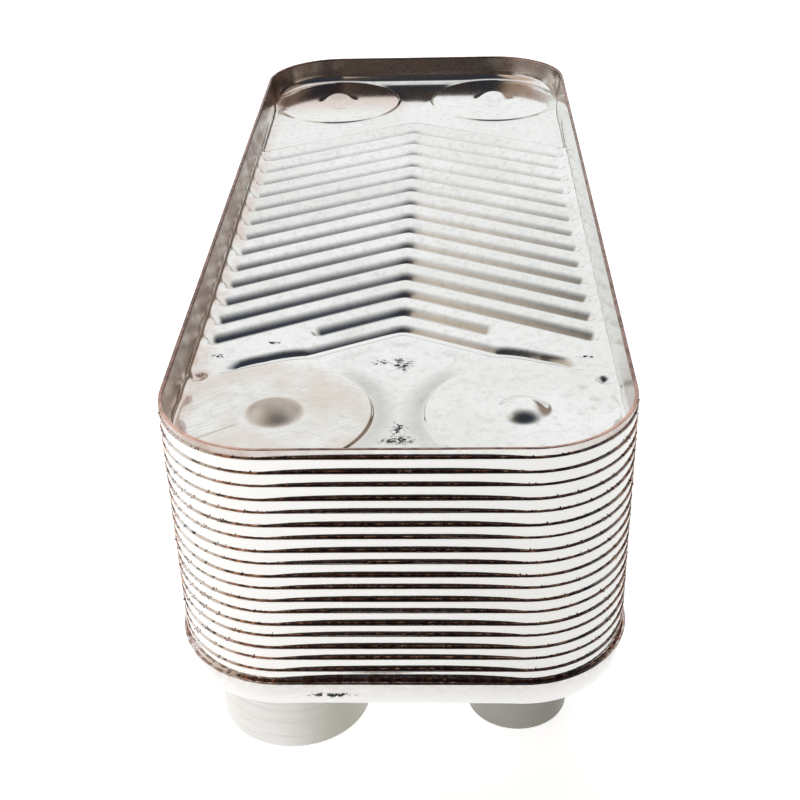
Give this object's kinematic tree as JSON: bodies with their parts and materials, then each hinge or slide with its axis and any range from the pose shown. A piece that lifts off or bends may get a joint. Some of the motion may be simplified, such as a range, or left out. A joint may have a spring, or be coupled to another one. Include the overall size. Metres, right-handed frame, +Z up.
{
  "type": "plate heat exchanger",
  "caption": "Brazed plate heat exchanger: nested pressed steel trays with chevron corrugation, copper seams, a closed cover plate and short tube stubs under a thick port plate.",
  "frame": {"origin": "under the middle of the block, level with the ends of the four stubs", "axes": "+X across the block from the heating stubs to the water stubs, +Y along the block in the direction that the cover plate's chevrons point, +Z up from the stubs to the cover plate"},
  "size_m": [0.077, 0.194, 0.0663],
  "materials": {
    "port_plate_steel": "smooth bright steel, lightly scuffed",
    "channel_plate_steel": "bright pressed steel with a copper tint at the rims",
    "cover_plate_steel": "satin pressed steel with furnace stains and scratches",
    "heating_stub_steel": "satin grey tube with faint turning rings",
    "water_stub_steel": "satin dark grey tube",
    "braze_copper": "dark oxidised copper with bright beads"
  },
  "bodies": {
    "root": {"port_cover_plate": "port_plate_steel", "channel_plate_01": "channel_plate_steel", "channel_plate_02": "channel_plate_steel", "channel_plate_03": "channel_plate_steel", "channel_plate_04": "channel_plate_steel", "channel_plate_05": "channel_plate_steel", "channel_plate_06": "channel_plate_steel", "channel_plate_07": "channel_plate_steel", "channel_plate_08": "channel_plate_steel", "channel_plate_09": "channel_plate_steel", "channel_plate_10": "channel_plate_steel", "channel_plate_11": "channel_plate_steel", "channel_plate_12": "channel_plate_steel", "channel_plate_13": "channel_plate_steel", "channel_plate_14": "channel_plate_steel", "channel_plate_15": "channel_plate_steel", "channel_plate_16": "channel_plate_steel", "channel_plate_17": "channel_plate_steel", "channel_plate_18": "channel_plate_steel", "blind_cover_plate": "cover_plate_steel", "heating_inlet_stub": "heating_stub_steel", "heating_outlet_stub": "heating_stub_steel", "water_outlet_stub": "water_stub_steel", "water_inlet_stub": "water_stub_steel", "braze_seam_01": "braze_copper", "braze_seam_02": "braze_copper", "braze_seam_03": "braze_copper", "braze_seam_04": "braze_copper", "braze_seam_05": "braze_copper", "braze_seam_06": "braze_copper", "braze_seam_07": "braze_copper", "braze_seam_08": "braze_copper", "braze_seam_09": "braze_copper", "braze_seam_10": "braze_copper", "braze_seam_11": "braze_copper", "braze_seam_12": "braze_copper", "braze_seam_13": "braze_copper", "braze_seam_14": "braze_copper", "braze_seam_15": "braze_copper", "braze_seam_16": "braze_copper", "braze_seam_17": "braze_copper", "braze_seam_18": "braze_copper", "braze_seam_19": "braze_copper", "heating_inlet_braze_fillet": "braze_copper", "heating_outlet_braze_fillet": "braze_copper", "water_outlet_braze_fillet": "braze_copper", "water_inlet_braze_fillet": "braze_copper"}
  },
  "joints": []
}
